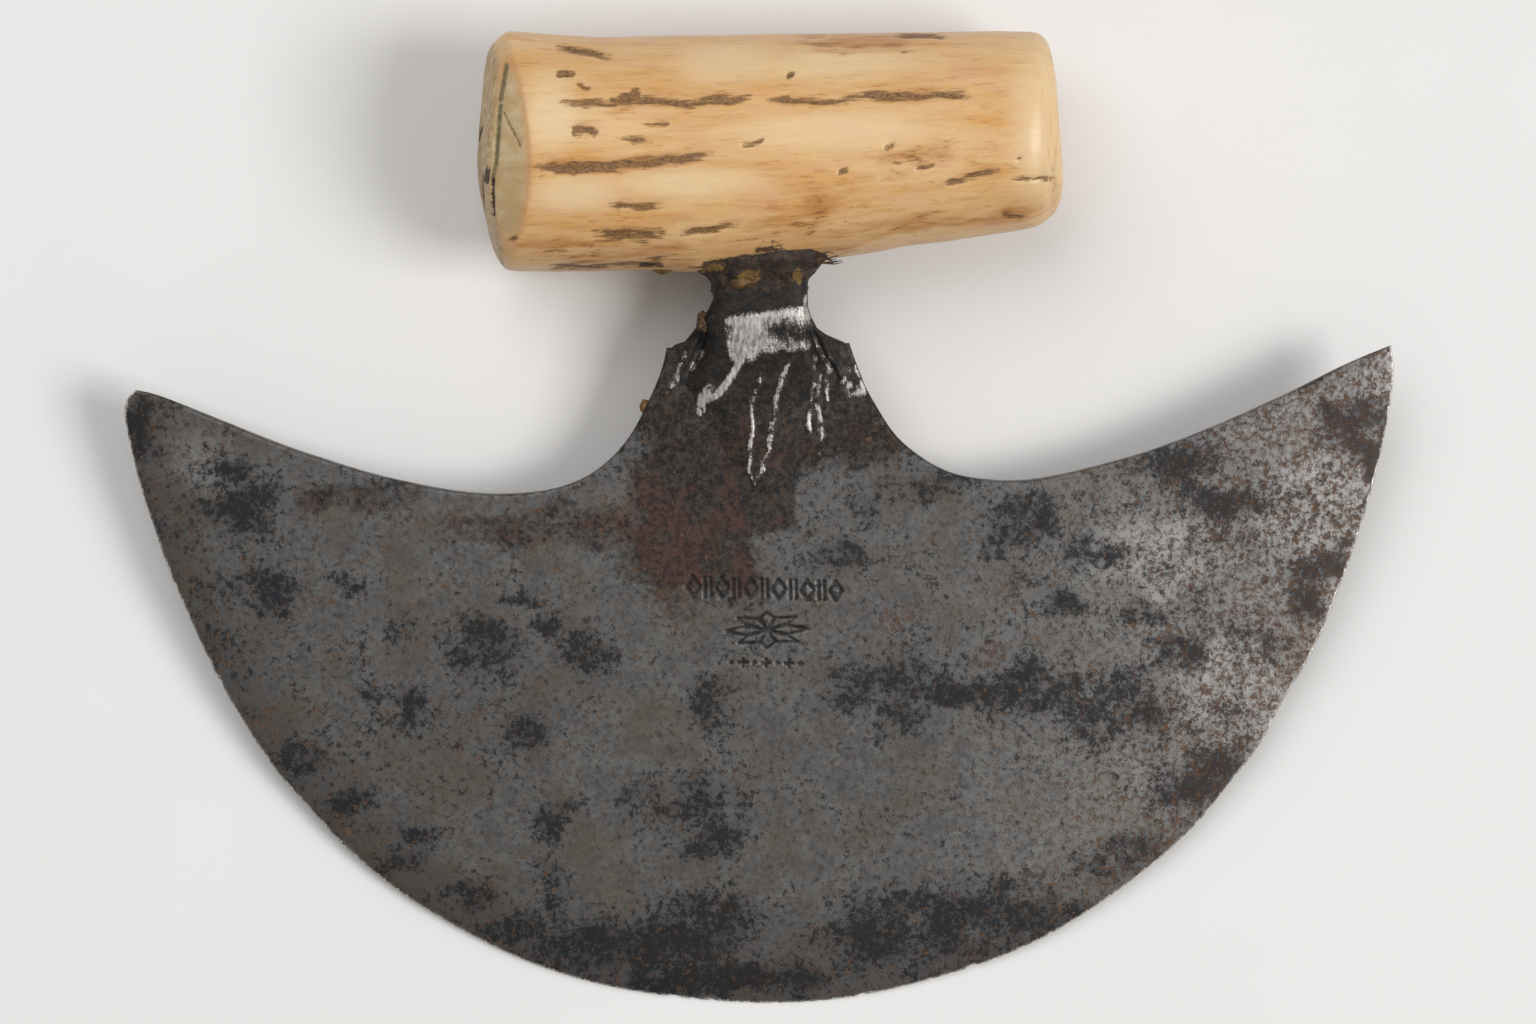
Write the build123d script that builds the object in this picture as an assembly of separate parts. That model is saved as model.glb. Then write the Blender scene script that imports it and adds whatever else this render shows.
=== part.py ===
"""A leatherworker's head knife: a crescent steel blade on a forged iron stem, with a bone T-handle.

Work frame, used while modelling: the blade lies in the XY plane, +Y runs up the stem to the handle, +X along
the handle to its thin end, and the origin is the middle of the shoulder line, where the neck meets the blade.
At the end lay_down() turns everything into the row frame, where the knife lies face up on a surface at z = 0,
resting on the underside of its handle and on the lowest point of its cutting edge. All sizes are millimetres.
"""

import math
import os

from build123d import *

# Blade plate
PLATE_HALF = 1.1  # half its thickness at the back and over the flat
EDGE_LOW = (0.0, -101.2)  # lowest point of the cutting edge
EDGE_SIDE = [(32.3, -95.9), (60.0, -79.7), (80.0, -54.3), (91.0, -28.2), (95.3, -9.6)]
TIP = (95.2, -2.9)
TIP_WEAR = 1.6  # radius worn on the tip at -X; the other tip is still sharp
BACK_SIDE = [(78.0, -10.3), (57.5, -17.9), (39.0, -21.6), (30.0, -20.6), (23.2, -16.9), (18.0, -10.3)]
SHOULDER = (13.8, 0.0)  # square corner of the ears beside the stem
TONGUE = (4.6, 6.5)  # half width and top of the plate's tongue, which stands in the fork of the stem

# Bevel ground on both faces along the cutting edge, as a shallow cone round one centre
GRIND_CENTRE_Y = -6.0
GRIND_RADIUS = 86.6
GRIND_RIM = (97.0, 0.08)  # (radius, half thickness) where the cone would end; the edge itself is reached first
EDGE_HALF = 0.26  # half thickness left at the lowest point of the edge, which is worn blunt

# Stem: one iron forging with a forked fan below, a flat neck, and a tang inside the handle
NECK_TOP = 11.4  # shoulder of the tang, just under the handle
FORK_HALF = 0.75  # half width of the fork's slot; the plate is thinned to fit in it
STEM_SIDE = [(7.2, 6.5), (8.6, 3.4), (10.9, 0.2), (11.2, -2.6), (7.2, -11.5)]  # front view, neck to fan
STEM_LOW = -21.7  # toe of the fan
STEM_PROFILE = [(4.5, 4.5), (3.2, 0.0), (1.8, -9.0), (1.25, STEM_LOW)]  # side view: (half thickness, y)
STEM_SECTION = [(5.4, 4.5), (7.2, 3.1), (9.3, 1.35), (12.0, 1.3)]  # seen along Y: rib, groove and thin ear
TANG_ROOT = (8.0, 6.4)  # width and thickness at the tang's shoulder
TANG_END = (4.4, 3.8)
TANG_TOP = 34.0

# Handle: one length of bone, oval, thicker at its -X end, its underside straight so that it lies level
HANDLE_LEFT = -42.3
HANDLE_RIGHT = 46.4
HANDLE_AXIS_Y = 29.3  # height of its axis over the shoulder line, on the stem's line
HANDLE_SKEW = math.radians(0.8)  # its axis rises a little towards +X
HANDLE_HALF_WIDE = 17.2  # half its size across the axis in the blade's plane, on the stem's line
HANDLE_HALF_THICK = 15.9  # half its size square to the blade's plane, on the stem's line
HANDLE_TAPER = 0.0021  # share by which a section changes for each millimetre along X
HANDLE_REST = 0.17  # share of the length from each end where the underside touches the surface it lies on
HANDLE_RELIEF = 0.25  # between these two places the underside is hollow by about this much
# (share of the length, share of the full section) for the rounded ends and the straight body between them
HANDLE_STATIONS = [
    (0.0, 0.56), (0.015, 0.70), (0.05, 0.85), (0.10, 0.95), (0.17, 1.0), (0.33, 1.0), (0.50, 1.0),
    (0.67, 1.0), (0.83, 1.0), (0.93, 0.985), (0.975, 0.94), (0.993, 0.84), (1.0, 0.72),
]

# Tang hole, the pitch cement that beds the tang in it, and the resin and pitch left outside
HOLE_RADIUS = 5.6
HOLE_TOP = 36.5
COLLAR_MOUTH = (11.6, 8.6)  # half width and half thickness of the squeezed-out collar inside the handle's line
COLLAR_MOUTH_Y = 15.0
COLLAR_WAIST = (9.0, 6.0)  # and where it feathers out on the neck
COLLAR_WAIST_Y = 8.6
# name of each bead outside: (x, y, z, radius)
BEADS = {
    "resin_bead_joint": (-2.0, 9.6, 6.1, 1.6),
    "resin_drip_handle": (-13.9, 12.0, 2.2, 1.5),
    "resin_bead_shoulder": (-17.5, -8.7, 0.0, 0.95),
    "pitch_spot_neck": (-7.7, 3.6, 2.0, 1.4),
}
# Wisp of tow packing that sticks out of the joint: its line, and its thickness at the root
WISP_LINE = [(8.2, 12.6, 6.6), (10.4, 12.6, 7.6), (13.0, 13.4, 7.4)]
WISP_RADIUS = 0.3


def mirrored(points):
    """The same points on the other side of the Y axis, in reverse order."""
    return [(-x, y) for x, y in reversed(points)]


def symmetric_section(half):
    """A closed polygon face from the points of its upper right quarter, mirrored to all four quarters."""
    upper = mirrored(half) + half
    lower = [(x, -y) for x, y in reversed(upper)]
    return make_face(Polyline(upper + lower, close=True))


def handle_section(x):
    """(axis y, half width, half thickness) of the handle's full section at x, before its ends are rounded."""
    scale = 1 - HANDLE_TAPER * x
    return HANDLE_AXIS_Y + math.tan(HANDLE_SKEW) * x, HANDLE_HALF_WIDE * scale, HANDLE_HALF_THICK * scale


def lying_angle():
    """The angle that the blade makes with the surface it lies on, in radians."""
    drop = HANDLE_AXIS_Y - EDGE_LOW[1]
    return math.atan(HANDLE_HALF_THICK / math.sqrt(drop**2 - HANDLE_HALF_WIDE**2))


def handle_axis_z(x):
    """The axis height over the blade's plane that puts the section's underside on the lying surface."""
    tilt = lying_angle()
    axis_y, wide, thick = handle_section(x)
    reach = math.hypot(wide * math.sin(tilt), thick * math.cos(tilt))
    level = ((EDGE_LOW[1] - axis_y) * math.sin(tilt) + reach) / math.cos(tilt) - EDGE_HALF
    share = (x - HANDLE_LEFT) / (HANDLE_RIGHT - HANDLE_LEFT)
    return level + HANDLE_RELIEF * (math.sin(math.pi * share) / math.sin(math.pi * HANDLE_REST) - 1)


def plate_outline():
    """The crescent with its worn tip, ears, and the tongue that stands in the stem's fork, as a flat face."""
    edge = mirrored(EDGE_SIDE + [TIP]) + [EDGE_LOW] + EDGE_SIDE + [TIP]
    foot = (TONGUE[0], SHOULDER[1])
    top = [SHOULDER, foot, TONGUE]
    lines = [
        Spline(edge),
        Spline([TIP] + BACK_SIDE + [SHOULDER]),
        Polyline(top + mirrored(top)),
        Spline(mirrored([TIP] + BACK_SIDE + [SHOULDER])),
    ]
    outline = make_face(Wire(Curve(lines).edges()))
    return fillet(outline.vertices().sort_by(Axis.X)[0], TIP_WEAR)


def make_plate():
    """The plate, ground to a thin edge on both faces."""
    slab = extrude(plate_outline(), PLATE_HALF, both=True)
    rim, thin = GRIND_RIM
    profile = [(0, PLATE_HALF), (GRIND_RADIUS, PLATE_HALF), (rim, thin)]
    profile += [(r, -z) for r, z in reversed(profile)]
    lens = revolve(Plane.XZ * make_face(Polyline(profile, close=True)), Axis.Z)
    return slab & Pos(0, GRIND_CENTRE_Y) * lens


def make_stem():
    """The forging: its front, side and end views cut from one block, with a fork for the plate and a tang."""
    top = (STEM_SIDE[0][0], NECK_TOP)
    right = STEM_SIDE + [(0.0, STEM_LOW)]
    front = make_face(
        Wire(
            Curve([
                Polyline(STEM_SIDE[0], top, *mirrored([STEM_SIDE[0], top])),
                Spline(right, tangents=[(0, -1), (-1, 0)]),
                Spline(mirrored(right), tangents=[(-1, 0), (0, 1)]),
            ]).edges()
        )
    )
    near = [(y, z) for z, y in STEM_PROFILE]
    far = [(y, -z) for y, z in near]
    neck = [far[0], (NECK_TOP, far[0][1]), (NECK_TOP, near[0][1]), near[0]]
    side = make_face(Wire(Curve([Polyline(neck), Spline(near), Line(near[-1], far[-1]), Spline(far)]).edges()))
    block = 2 * TANG_TOP
    forging = extrude(front, block, both=True)
    forging &= extrude(Plane.YZ * side, block, both=True)
    forging &= extrude(Plane.XZ * symmetric_section(STEM_SECTION), block, both=True)
    forging -= extrude(plate_outline(), FORK_HALF, both=True)
    tang = loft([
        Plane.XZ.offset(-NECK_TOP) * Rectangle(*TANG_ROOT),
        Plane.XZ.offset(-TANG_TOP) * Rectangle(*TANG_END),
    ])
    return forging + tang


def make_handle_blank():
    """The bone before its hole is bored: a loft through oval sections that close in at both ends."""
    sections = []
    for share, scale in HANDLE_STATIONS:
        x = HANDLE_LEFT + share * (HANDLE_RIGHT - HANDLE_LEFT)
        axis_y, wide, thick = handle_section(x)
        plane = Plane(origin=(x, axis_y, handle_axis_z(x)), x_dir=(0, 1, 0), z_dir=(1, 0, 0))
        sections.append(plane * Ellipse(wide * scale, thick * scale))
    return loft(sections, ruled=True)


def make_hole():
    """The round blind hole for the tang, from below the handle up."""
    depth = HOLE_TOP - COLLAR_WAIST_Y
    return extrude(Plane.XZ.offset(-HOLE_TOP) * Circle(HOLE_RADIUS), depth)


def make_collar_blank():
    """The pitch squeezed out round the neck, before the handle and the stem are taken from it."""
    mouth = Plane.XZ.offset(-COLLAR_MOUTH_Y) * Ellipse(*COLLAR_MOUTH)
    waist = Plane.XZ.offset(-COLLAR_WAIST_Y) * Ellipse(*COLLAR_WAIST)
    return loft([waist, mouth])


def make_wisp():
    """A short pointed wisp of fibre."""
    line = Spline(*WISP_LINE)
    root = Plane(origin=line @ 0, z_dir=line % 0) * Circle(WISP_RADIUS)
    return sweep(root, path=line)


def make_pieces():
    """Every piece of the knife by name, in the work frame, each cut clear of the ones it touches."""
    stem = make_stem()
    plate = make_plate() - stem
    blank = make_handle_blank()
    hole = make_hole()
    pitch = (hole & blank) + (make_collar_blank() - blank) - stem
    pieces = {"blade": plate, "stem": stem, "handle": blank - hole, "pitch_bedding": pitch}
    solid = list(pieces.values())
    for name, (x, y, z, radius) in BEADS.items():
        bead = Pos(x, y, z) * Rot(X=90) * Sphere(radius)
        for other in solid:
            bead -= other
        pieces[name] = bead
    wisp = make_wisp()
    for other in solid:
        wisp -= other
    pieces["tow_wisp"] = wisp
    return pieces


def lay_down(pieces):
    """All pieces in the row frame: lying on z = 0, with the origin under the middle of their bounding box."""
    tilted = {name: Rot(X=math.degrees(lying_angle())) * piece for name, piece in pieces.items()}
    box = Compound(list(tilted.values())).bounding_box()
    move = Pos(-box.center().X, -box.center().Y, -box.min.Z)
    return {name: move * piece for name, piece in tilted.items()}


os.makedirs("parts", exist_ok=True)
for node, shape in lay_down(make_pieces()).items():
    export_step(shape, f"parts/{node}.step")
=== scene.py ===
"""Looks of the head knife: a stained crescent blade, a forged stem and a bone cross handle.

Shapes are worked out in the knife's own frame, in millimetres: the blade lies in the XY plane, +Y runs
up the stem to the handle, +X along the handle to its thin end, and the origin is the middle of the shoulder
line. to_row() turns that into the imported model's frame, in metres, where the knife lies on z = 0.
"""

import math

import bpy
import numpy as np
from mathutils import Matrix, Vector, geometry, noise


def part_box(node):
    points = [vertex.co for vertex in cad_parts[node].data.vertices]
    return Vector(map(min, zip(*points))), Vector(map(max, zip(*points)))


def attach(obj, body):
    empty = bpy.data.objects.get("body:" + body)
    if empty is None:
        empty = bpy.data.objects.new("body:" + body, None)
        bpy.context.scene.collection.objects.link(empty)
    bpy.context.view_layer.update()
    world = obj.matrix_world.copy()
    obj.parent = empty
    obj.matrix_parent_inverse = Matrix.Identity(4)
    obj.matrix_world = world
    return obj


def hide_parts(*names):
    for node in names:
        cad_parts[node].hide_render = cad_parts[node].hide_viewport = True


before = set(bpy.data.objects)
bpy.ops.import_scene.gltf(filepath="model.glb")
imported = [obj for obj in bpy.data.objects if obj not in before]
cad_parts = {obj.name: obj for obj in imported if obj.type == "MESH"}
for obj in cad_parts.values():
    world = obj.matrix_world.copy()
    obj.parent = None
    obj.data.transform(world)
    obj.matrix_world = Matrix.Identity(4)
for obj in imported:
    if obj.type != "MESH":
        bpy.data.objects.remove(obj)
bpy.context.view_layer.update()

TILT = math.radians(7.007155)  # the angle at which the blade lies
EDGE_LOW_Y = -101.2  # lowest point of the cutting edge, and its half thickness there
EDGE_HALF = 0.26
COS, SIN = math.cos(TILT), math.sin(TILT)
LOW_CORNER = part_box("blade")[0] * 1000
SHIFT_Y = LOW_CORNER.y - EDGE_LOW_Y * COS + EDGE_HALF * SIN
SHIFT_Z = LOW_CORNER.z - EDGE_LOW_Y * SIN + EDGE_HALF * COS
rng = np.random.default_rng(1871)


# ---- shared helpers


def to_row(points):
    """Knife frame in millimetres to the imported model's frame in metres."""
    x, y, z = np.asarray(points, float).T
    return np.stack([x, y * COS - z * SIN + SHIFT_Y, y * SIN + z * COS + SHIFT_Z], 1) / 1000


def add_object(name, data):
    made = bpy.data.objects.new(name, data)
    bpy.context.scene.collection.objects.link(made)
    return made


def make_object(name, points, faces, node, material, masks=None):
    """A smooth piece that stands for one CAD node. masks are numbers per vertex that its material reads."""
    mesh = bpy.data.meshes.new(name)
    mesh.from_pydata(to_row(points).tolist(), [], faces)
    mesh.update()
    mesh.shade_smooth()
    for key, values in (masks or {}).items():
        layer = mesh.attributes.new(key, "FLOAT", "POINT")
        layer.data.foreach_set("value", np.asarray(values, np.float32))
    mesh.materials.append(material)
    obj = add_object(name, mesh)
    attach(obj, "root")
    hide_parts(node)
    return obj


def spline(knots, step):
    """Points about a step apart on a natural cubic spline through the knots."""
    knots = np.asarray(knots, float)
    t = np.concatenate([[0], np.cumsum(np.hypot(*np.diff(knots, axis=0).T))])
    h, n = np.diff(t), len(t)
    matrix, right = np.eye(n), np.zeros((n, 2))
    for i in range(1, n - 1):
        matrix[i, i - 1 : i + 2] = h[i - 1], 2 * (h[i - 1] + h[i]), h[i]
        right[i] = 6 * ((knots[i + 1] - knots[i]) / h[i] - (knots[i] - knots[i - 1]) / h[i - 1])
    bend = np.linalg.solve(matrix, right)
    at = np.linspace(0, t[-1], int(t[-1] / step) + 1)
    i = np.clip(np.searchsorted(t, at, side="right") - 1, 0, n - 2)
    a, b, w = ((t[i + 1] - at) / h[i])[:, None], ((at - t[i]) / h[i])[:, None], (h[i] ** 2 / 6)[:, None]
    return a * knots[i] + b * knots[i + 1] + ((a**3 - a) * bend[i] + (b**3 - b) * bend[i + 1]) * w


def smooth(value, low, high):
    """0 below low, 1 above high, and an even turn between. high may be the smaller one."""
    t = np.clip((value - low) / (high - low), 0, 1)
    return t * t * (3 - 2 * t)


def along(value, table):
    """Straight interpolation in a table of (value, result) pairs."""
    keys, results = zip(*sorted(table))
    return np.interp(value, keys, results)


def line_distance(x, y, line):
    """Distance of every point (x, y) from a run of straight lines."""
    best = np.full(np.shape(x), 1e9)
    for (ax, ay), (bx, by) in zip(line[:-1], line[1:]):
        dx, dy = bx - ax, by - ay
        t = np.clip(((x - ax) * dx + (y - ay) * dy) / (dx * dx + dy * dy + 1e-9), 0, 1)
        best = np.minimum(best, np.hypot(x - ax - t * dx, y - ay - t * dy))
    return best


def near_lines(x, y, lines, taper=0.0, uneven=0.0):
    """1 on lines of (half width, softness, points), 0 away from them, and less within taper of their ends.

    uneven is added to the distance, so that a line is wider and narrower along its run.
    """
    found = np.zeros(np.shape(x))
    for half, soft, line in lines:
        value = smooth(line_distance(x, y, line) + uneven, half + soft, half)
        if 0 < 2 * taper < math.dist(line[0], line[-1]):
            ends = np.minimum(*(np.hypot(x - ex, y - ey) for ex, ey in (line[0], line[-1])))
            value = value * (0.3 + 0.7 * smooth(ends, 0, taper))
        found = np.maximum(found, value)
    return found


def near_spots(x, y, spots):
    """1 in the middle of oval spots of (x, y, half width, half height) and 0 outside them."""
    found = np.zeros(np.shape(x))
    for cx, cy, rx, ry in spots:
        found = np.maximum(found, smooth(np.hypot((x - cx) / rx, (y - cy) / ry), 1.35, 0.35))
    return found


def fractal(points, size, seed, detail=4):
    """Natural unevenness from about -1 to 1, with lumps of about the given size in millimetres."""
    offset = Vector((seed * 17.3, seed * -9.1, seed * 5.7))
    return np.array([noise.fractal(Vector(p) / size + offset, 0.9, 2.1, detail) for p in points])


def oval_reach(turn, wide, thick, power):
    """Distance from the middle to an oval's line in the direction turn. Power 2 makes a true ellipse."""
    return ((np.abs(np.cos(turn)) / wide) ** power
            + (np.abs(np.sin(turn)) / thick) ** power) ** (-1 / power)


def ring_faces(rings, count):
    """Quads between rings of count points each, and a fan at both ends round two more points."""
    faces = [
        (r * count + c, r * count + (c + 1) % count, (r + 1) * count + (c + 1) % count, (r + 1) * count + c)
        for r in range(rings - 1)
        for c in range(count)
    ]
    first, last, base = rings * count, rings * count + 1, (rings - 1) * count
    faces += [((c + 1) % count, c, first) for c in range(count)]
    faces += [(base + c, base + (c + 1) % count, last) for c in range(count)]
    return faces


# ---- materials


class Shader:
    """Builds one procedural material in coats of colour, each given as it looks on a screen, from 0 to 255.

    Textures are laid out in millimetres.
    """

    def __init__(self, name):
        self.material = bpy.data.materials.new(name)
        self.material.use_nodes = True
        self.tree = self.material.node_tree
        self.surface = self.tree.nodes["Principled BSDF"]
        place = self.node("ShaderNodeTexCoord").outputs["Object"]
        self.place = self.node("ShaderNodeVectorMath", {0: place, "Scale": 1000},
                               operation="SCALE").outputs[0]

    def node(self, kind, inputs=None, **settings):
        made = self.tree.nodes.new(kind)
        for key, value in settings.items():
            setattr(made, key, value)
        for key, value in (inputs or {}).items():
            self.put(made.inputs[key], value)
        return made

    def put(self, socket, value):
        if isinstance(value, bpy.types.NodeSocket):
            self.tree.links.new(value, socket)
        elif socket.type == "RGBA":
            socket.default_value = (*tone(*value), 1)
        else:
            socket.default_value = value

    def noise(self, scale, detail=3.0, rough=0.55, stretch=(1, 1, 1), seed=0.0, warp=0.0):
        """Noise with about scale lumps in a millimetre."""
        inputs = {0: self.place, 1: tuple(scale * s for s in stretch)}
        spot = self.node("ShaderNodeVectorMath", inputs, operation="MULTIPLY").outputs[0]
        inputs = {"Vector": spot, "W": seed, "Scale": 1.0, "Detail": detail, "Roughness": rough,
                  "Distortion": warp}
        return self.node("ShaderNodeTexNoise", inputs, noise_dimensions="4D").outputs["Fac"]

    def times(self, a, b):
        return self.node("ShaderNodeMath", {0: a, 1: b}, operation="MULTIPLY").outputs[0]

    def add(self, *terms):
        """The sum of (socket, weight) pairs."""
        total = 0.0
        for socket, weight in terms:
            inputs = {0: socket, 1: weight, 2: total}
            total = self.node("ShaderNodeMath", inputs, operation="MULTIPLY_ADD").outputs[0]
        return total

    def step(self, value, low, high, end=1.0, start=0.0):
        """start below low, end above high, and an even turn between. high may be the smaller one."""
        inputs = {"Value": value, "From Min": low, "From Max": high, "To Min": start, "To Max": end}
        return self.node("ShaderNodeMapRange", inputs, interpolation_type="SMOOTHSTEP").outputs["Result"]

    def mix(self, factor, a, b):
        made = self.node("ShaderNodeMix", data_type="RGBA")
        for index, value in ((0, factor), (6, a), (7, b)):
            self.put(made.inputs[index], value)
        return made.outputs[2]

    def coat(self, factor, colour):
        """Lays a colour over the ones that are there, as far as factor says."""
        self.colour = self.mix(factor, self.colour, colour)

    def mask(self, name):
        return self.node("ShaderNodeAttribute", attribute_name=name).outputs["Fac"]

    def masks(self, names):
        return [self.mask(name) for name in names.split()]

    def finish(self, rough, bump=None, depth=0.0, metal=0.0):
        """Links the results. depth is the bump's height in millimetres."""
        self.put(self.surface.inputs["Base Color"], self.colour)
        self.put(self.surface.inputs["Roughness"], rough)
        self.put(self.surface.inputs["Metallic"], metal)
        if bump is not None:
            relief = self.node("ShaderNodeBump",
                               {"Height": bump, "Distance": depth / 1000, "Strength": 1.0})
            self.put(self.surface.inputs["Normal"], relief.outputs[0])
        return self.material


def tone(red, green, blue):
    """A colour given as it looks on a screen, from 0 to 255, as the shader's linear values."""
    shares = (red / 255, green / 255, blue / 255)
    return tuple(c / 12.92 if c < 0.04045 else ((c + 0.055) / 1.055) ** 2.4 for c in shares)


def old_steel():
    """Stained, pitted steel, with painted highlights and painted shade. Masks: blot, rust, scorch, edge,
    bright, bare, mark.

    The highlights are painted as lighter steel towards the right wing, in a few spots, along the cutting
    edge and along edges of the stem, where they are mixed into the worn metal. On the stem the dark of the
    marks also paints shade into the creases beside the rib.
    """
    s = Shader("old_steel")
    blot, rust, scorch, edge, bright, bare, mark = s.masks("blot rust scorch edge bright bare mark")
    cloud = s.noise(0.05, 3, 0.55)
    lump = s.noise(0.22, 5, 0.66, seed=3, warp=0.5)
    grain = s.noise(1.05, 5, 0.74, seed=1, warp=0.3)
    fine = s.noise(4.5, 2, 0.6, seed=7)
    speck = s.noise(1.05, 4, 0.66, seed=5, warp=0.6)
    tinge = s.noise(0.12, 4, 0.6, seed=11)
    scratch = s.noise(0.3, 3, 0.6, stretch=(0.3, 11, 1), seed=9)
    brushed = s.noise(1.0, 4, 0.68, stretch=(2.2, 0.6, 1), seed=13)
    stained = s.add((blot, 0.96), (edge, 0.37), (lump, 3.2), (cloud, 1.6), (1.0, -2.45))
    smoke = s.step(stained, 0.0, 1.6, 0.8)
    grains = s.step(s.add((fine, 0.9), (grain, 2.8), (stained, 0.36), (1.0, -1.85)), 0.14, 0.46, 0.82)
    s.colour = s.mix(s.step(lump, 0.3, 0.7), (97, 97, 98), (118, 116, 113))
    s.coat(s.step(grain, 0.44, 0.62, 0.75), (78, 75, 74))
    s.coat(s.step(grain, 0.44, 0.28, 0.6), (134, 132, 130))
    s.coat(s.step(tinge, 0.45, 0.64, 0.5), (99, 88, 74))
    s.coat(s.step(scratch, 0.68, 0.76, 0.35), (146, 143, 139))
    # painted highlight: lighter steel, broken up by the grain
    painted_glint = s.times(bright, s.step(s.add((grain, 0.75), (lump, 0.25)), 0.6, 0.42, 0.8, start=0.12))
    s.coat(painted_glint, (180, 178, 175))
    brown = s.mix(s.step(grain, 0.35, 0.65), (52, 46, 42), (92, 82, 72))
    s.coat(s.times(edge, s.step(lump, 0.3, 0.62, 0.65, start=0.2)), brown)
    s.coat(smoke, (56, 58, 62))
    s.coat(grains, s.mix(s.step(tinge, 0.4, 0.6), (36, 38, 43), (42, 40, 39)))
    red = s.mix(s.step(grain, 0.4, 0.64), (80, 52, 45), (34, 27, 25))
    olive = s.mix(s.step(grain, 0.36, 0.58), (68, 59, 49), (30, 28, 27))
    warm = s.mix(s.step(s.add((lump, 0.7), (tinge, 0.5), (blot, -0.13), (scorch, 0.22)), 0.72, 0.86),
                 olive, red)
    burnt = s.step(s.add((scorch, 1.3), (lump, 1.4), (grain, 1.0), (1.0, -1.5)), 0.0, 0.9, 0.92)
    s.coat(s.times(burnt, s.step(scorch, 0.0, 0.25)), warm)
    rusty = s.add((speck, 1.0), (fine, 0.2), (rust, 0.075), (edge, 0.03), (smoke, -0.02), (1.0, -0.585))
    flecks = s.step(rusty, 0.11, 0.18, 0.85)
    s.coat(flecks, s.mix(s.step(grain, 0.35, 0.65), (58, 41, 31), (112, 80, 52)))
    blush = s.times(s.step(rust, 0.55, 1.0), s.step(grain, 0.4, 0.62, 0.6))
    s.coat(blush, (82, 60, 47))
    # worn metal, partly painted highlights along edges of the stem and along the cutting edge
    worn_and_painted_highlight = s.step(s.add((bare, 0.85), (brushed, 1.0), (fine, 1.5), (grain, 1.2), (1.0, -1.85)), 0.28,
                    0.72)
    worn_and_painted_highlight = s.times(worn_and_painted_highlight, s.step(bare, 0.05, 0.3))
    s.coat(worn_and_painted_highlight, s.mix(s.step(brushed, 0.3, 0.7), (138, 134, 131), (214, 209, 204)))
    # dark struck marks; on the stem also grime, and painted shade in the creases beside the rib
    s.coat(s.times(mark, 0.9), (30, 28, 27))
    pits = s.add((grain, 0.5), (fine, 0.35), (speck, 0.3), (grains, -0.25), (flecks, -0.2), (brushed, 0.1))
    rough = s.add((smoke, 0.1), (flecks, 0.2), (scorch, 0.06), (worn_and_painted_highlight, -0.1), (lump, 0.12), (1.0, 0.38))
    metal = s.add((flecks, -0.4), (scorch, -0.2), (1.0, 0.78))
    return s.finish(rough, pits, 0.1, metal=metal)


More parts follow.
